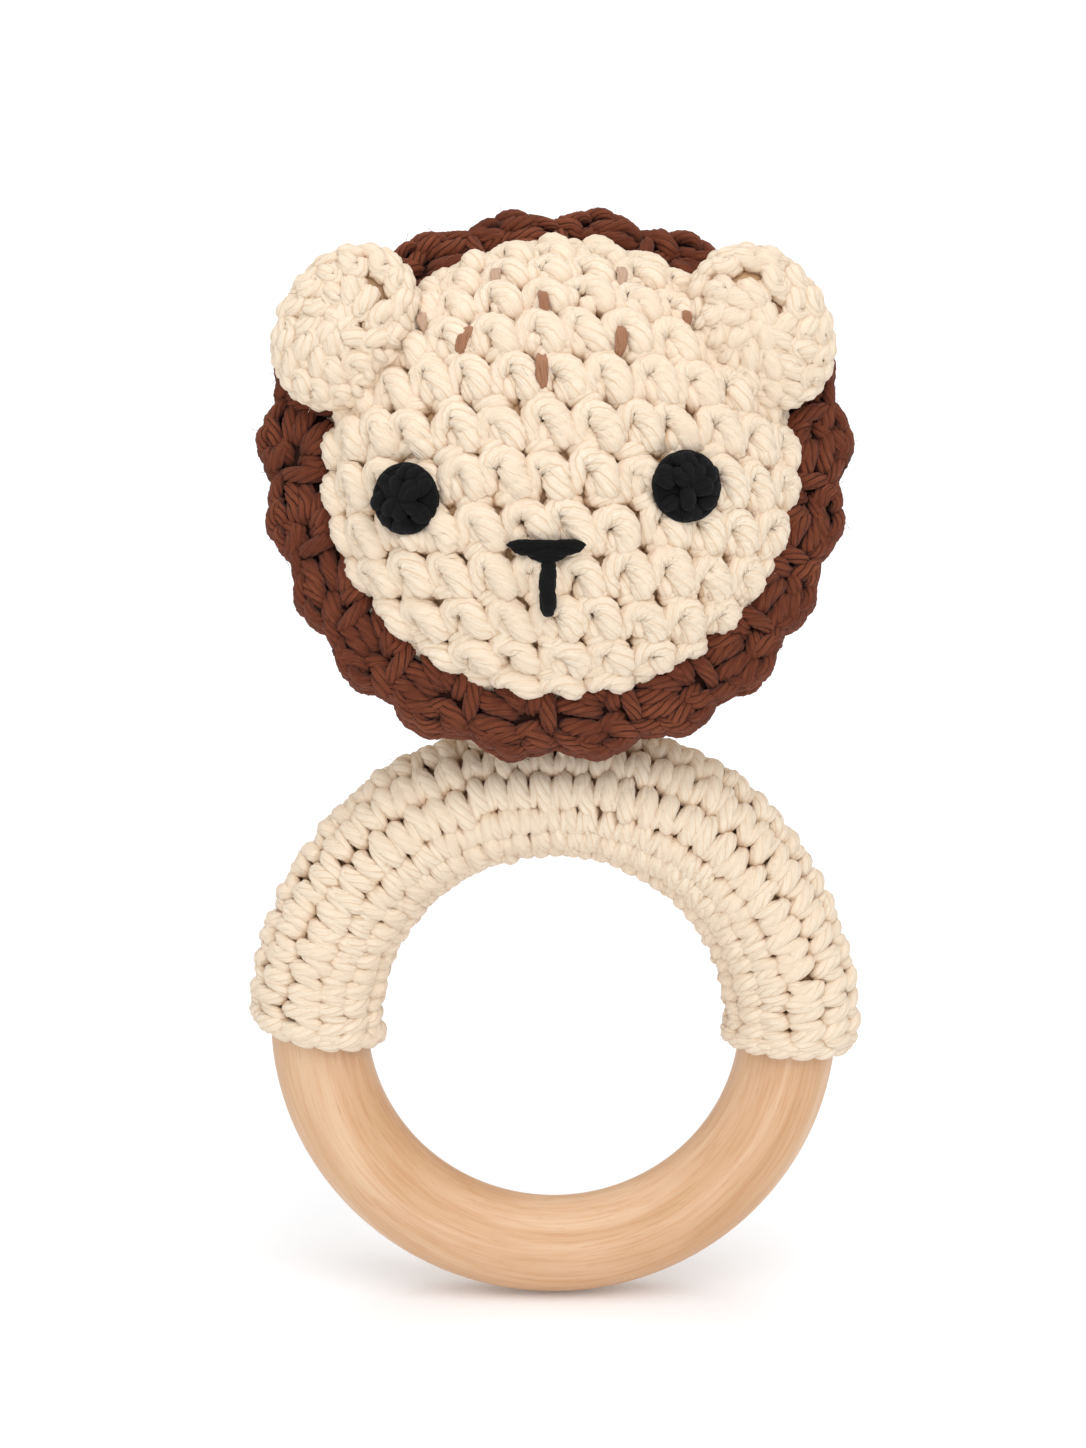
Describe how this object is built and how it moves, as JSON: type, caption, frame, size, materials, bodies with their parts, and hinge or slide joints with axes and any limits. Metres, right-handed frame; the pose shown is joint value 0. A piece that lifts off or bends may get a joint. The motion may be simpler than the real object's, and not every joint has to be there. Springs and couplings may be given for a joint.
{
  "type": "baby rattle",
  "caption": "Crocheted lion-head rattle: a stuffed ball head with mane, ears and stitched face, sewn to a crochet sleeve around a turned wooden teething ring.",
  "frame": {"origin": "centre of the wooden ring, on its axis", "axes": "+Z from the ring's centre to the head, -Y the way the ring's front and the face look (the head leans back from it), +X to the right as seen from the front"},
  "size_m": [0.0752, 0.051, 0.1338],
  "materials": {
    "beech": "sanded and oiled, satin",
    "cream_cotton": "crocheted cotton yarn",
    "brown_cotton": "crocheted cotton yarn",
    "mark_cotton": "embroidery yarn",
    "black_cotton": "crocheted and embroidered cotton yarn",
    "fibrefill": "loose polyester fibre",
    "capsule_plastic": "moulded",
    "bead_plastic": "moulded"
  },
  "bodies": {
    "plush": {"head_shell": "cream_cotton", "head_stuffing": "fibrefill", "mane": "brown_cotton", "ear_left": "cream_cotton", "ear_right": "cream_cotton", "ear_left_stitches": "cream_cotton", "ear_right_stitches": "cream_cotton", "eye_left": "black_cotton", "eye_right": "black_cotton", "nose_stitches": "black_cotton", "mouth_stitch": "black_cotton", "forehead_stitches": "mark_cotton", "neck_stitches": "cream_cotton", "sleeve": "cream_cotton", "sleeve_seam_yarn": "cream_cotton", "capsule_front_shell": "capsule_plastic", "capsule_back_shell": "capsule_plastic"},
    "ring": {"wooden_ring": "beech"},
    "bead_1": {"bead_1": "bead_plastic"},
    "bead_2": {"bead_2": "bead_plastic"},
    "bead_3": {"bead_3": "bead_plastic"},
    "bead_4": {"bead_4": "bead_plastic"},
    "bead_5": {"bead_5": "bead_plastic"}
  },
  "joints": [
    {"name": "ring_turn", "type": "hinge", "parent": "plush", "child": "ring", "pos_m": [0, 0, 0], "axis": [0, 1, 0], "continuous": true},
    {"name": "bead_1_rattle", "type": "slide", "parent": "plush", "child": "bead_1", "axis": [0, 0, 1], "range_m": [0, 0.0196]},
    {"name": "bead_2_rattle", "type": "slide", "parent": "plush", "child": "bead_2", "axis": [0, 0, 1], "range_m": [0, 0.0164]},
    {"name": "bead_3_rattle", "type": "slide", "parent": "plush", "child": "bead_3", "axis": [0, 0, 1], "range_m": [0, 0.0164]},
    {"name": "bead_4_rattle", "type": "slide", "parent": "plush", "child": "bead_4", "axis": [0, 0, 1], "range_m": [0, 0.0164]},
    {"name": "bead_5_rattle", "type": "slide", "parent": "plush", "child": "bead_5", "axis": [0, 0, 1], "range_m": [0, 0.0164]}
  ]
}
